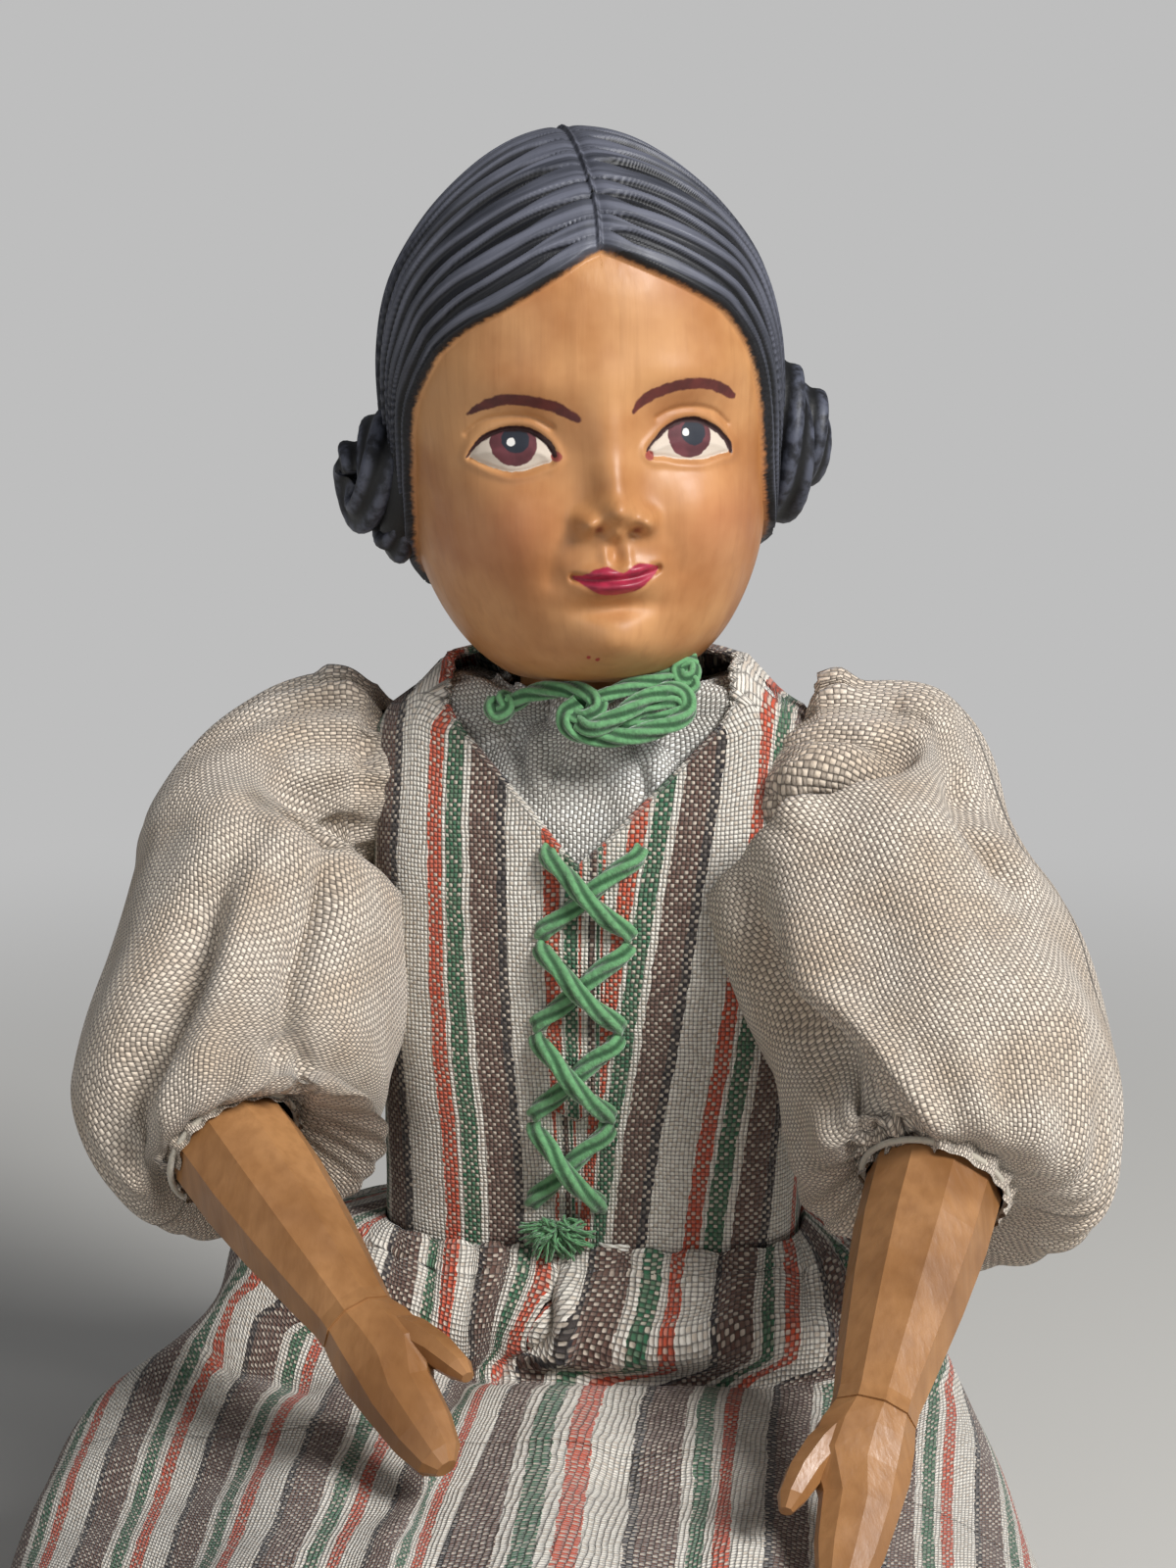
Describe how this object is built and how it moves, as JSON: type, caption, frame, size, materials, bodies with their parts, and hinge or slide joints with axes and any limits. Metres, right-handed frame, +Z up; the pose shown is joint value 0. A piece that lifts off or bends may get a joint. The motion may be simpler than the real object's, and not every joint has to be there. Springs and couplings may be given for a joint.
{
  "type": "jointed wooden doll",
  "caption": "Seated carved wooden doll with pegged neck, shoulders, elbows, hips and knees, painted face, coiled hair, laced striped dress and puffed sleeves.",
  "frame": {"origin": "middle of the flat wooden seat, on the surface the doll sits on", "axes": "+Z up, the doll faces -Y, its left hand is on the +X side"},
  "size_m": [0.1149, 0.1662, 0.1649],
  "materials": {
    "carved_wood": "satin, painted features, dark painted hair and boots",
    "dowel_wood": "matte",
    "painted_hair": "matte blue-black paint, grey on the ridges",
    "cream_cloth": "matte hopsack",
    "striped_cloth": "matte, stripes of cream, orange-red, green, brown and black",
    "green_yarn": "matte twisted yarn",
    "white_thread": "matte thread"
  },
  "bodies": {
    "torso": {"torso": "carved_wood", "hip_pin_left": "dowel_wood", "hip_pin_right": "dowel_wood", "shoulder_peg_left": "dowel_wood", "shoulder_peg_right": "dowel_wood", "blouse": "cream_cloth", "bodice": "striped_cloth", "lacing": "green_yarn", "lacing_tuft": "green_yarn", "waist_stitches": "white_thread", "neck_cord": "green_yarn", "skirt_left": "striped_cloth", "skirt_right": "striped_cloth"},
    "head": {"head": "carved_wood", "hair_bun_left": "painted_hair", "hair_bun_right": "painted_hair", "neck_peg": "dowel_wood"},
    "upper_arm_left": {"upper_arm_left": "carved_wood", "elbow_pin_left": "dowel_wood", "sleeve_left": "cream_cloth"},
    "forearm_left": {"forearm_left": "carved_wood", "cuff_thread_left": "white_thread"},
    "thigh_left": {"thigh_left": "carved_wood", "knee_pin_left": "dowel_wood"},
    "lower_leg_left": {"lower_leg_left": "carved_wood"},
    "upper_arm_right": {"upper_arm_right": "carved_wood", "elbow_pin_right": "dowel_wood", "sleeve_right": "cream_cloth"},
    "forearm_right": {"forearm_right": "carved_wood", "cuff_thread_right": "white_thread"},
    "thigh_right": {"thigh_right": "carved_wood", "knee_pin_right": "dowel_wood"},
    "lower_leg_right": {"lower_leg_right": "carved_wood"}
  },
  "joints": [
    {"name": "neck_turn", "type": "hinge", "parent": "torso", "child": "head", "pos_m": [0, 0, 0.104], "axis": [0, 0, 1], "range_deg": [-76, 44]},
    {"name": "shoulder_left", "type": "hinge", "parent": "torso", "child": "upper_arm_left", "pos_m": [0.028, 0, 0.092], "axis": [1, 0, 0], "range_deg": [-69, 71]},
    {"name": "elbow_left", "type": "hinge", "parent": "upper_arm_left", "child": "forearm_left", "pos_m": [0.04135, -0.02543, 0.06274], "axis": [0.3078, -0.6441, 0.7003], "range_deg": [-59, 31], "deforming": ["sleeve_left"]},
    {"name": "shoulder_right", "type": "hinge", "parent": "torso", "child": "upper_arm_right", "pos_m": [-0.028, 0, 0.092], "axis": [-1, 0, 0], "range_deg": [-10, 72]},
    {"name": "elbow_right", "type": "hinge", "parent": "upper_arm_right", "child": "forearm_right", "pos_m": [-0.04135, -0.0236, 0.06124], "axis": [-0.2287, -0.7218, 0.6532], "range_deg": [-59.5, 30.5], "deforming": ["sleeve_right"]},
    {"name": "hip_left", "type": "hinge", "parent": "torso", "child": "thigh_left", "pos_m": [0.0135, -0.005, 0.0125], "axis": [1, 0, 0], "range_deg": [0, 90], "deforming": ["skirt_left"]},
    {"name": "knee_left", "type": "hinge", "parent": "thigh_left", "child": "lower_leg_left", "pos_m": [0.0135, -0.067, 0.0125], "axis": [1, 0, 0], "range_deg": [0, 90]},
    {"name": "hip_right", "type": "hinge", "parent": "torso", "child": "thigh_right", "pos_m": [-0.0135, -0.005, 0.0125], "axis": [-1, 0, 0], "range_deg": [-90, 0], "deforming": ["skirt_right"]},
    {"name": "knee_right", "type": "hinge", "parent": "thigh_right", "child": "lower_leg_right", "pos_m": [-0.0135, -0.067, 0.0125], "axis": [-1, 0, 0], "range_deg": [-90, 0]}
  ]
}
